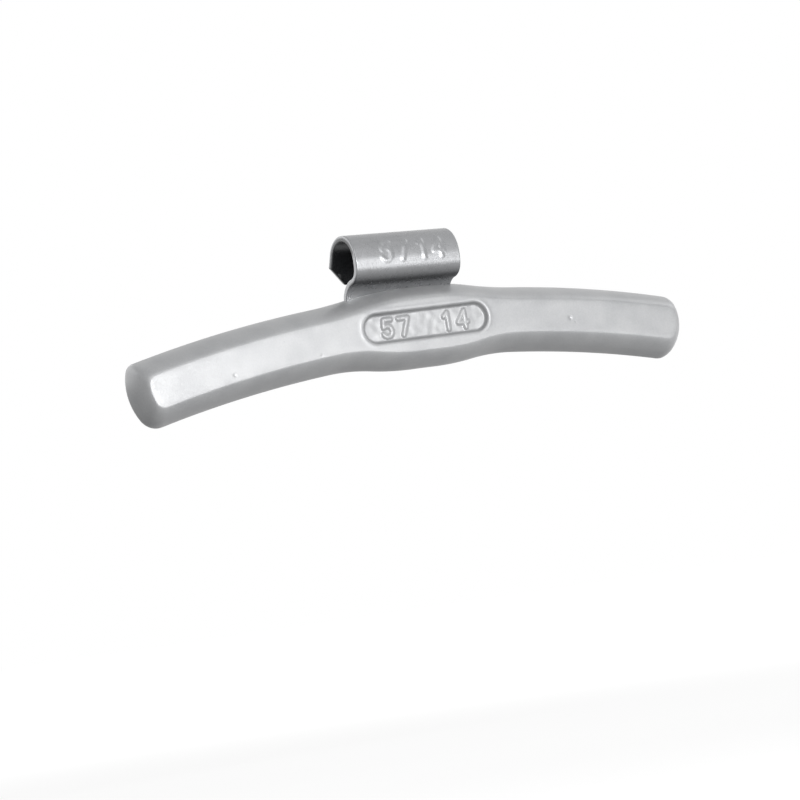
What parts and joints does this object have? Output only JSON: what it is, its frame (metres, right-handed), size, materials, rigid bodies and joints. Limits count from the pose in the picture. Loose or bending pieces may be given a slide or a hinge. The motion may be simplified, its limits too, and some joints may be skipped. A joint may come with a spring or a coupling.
{
  "type": "clip-on wheel balance weight",
  "caption": "Curved steel bar with a folded spring clip on its outer edge, made to hook over a wheel rim's flange and balance the wheel.",
  "frame": {"origin": "middle of the rim jaw, on the axis of the clip's curl", "axes": "+X along the jaw toward the bar's far end, +Y out of the back face toward the rim, +Z outward from the hub, over the clip"},
  "size_m": [0.1176, 0.0117, 0.0313],
  "materials": {
    "coated_bar": "satin",
    "coated_clip": "satin"
  },
  "bodies": {
    "root": {"weight_body": "coated_bar", "spring_clip": "coated_clip"}
  },
  "joints": []
}
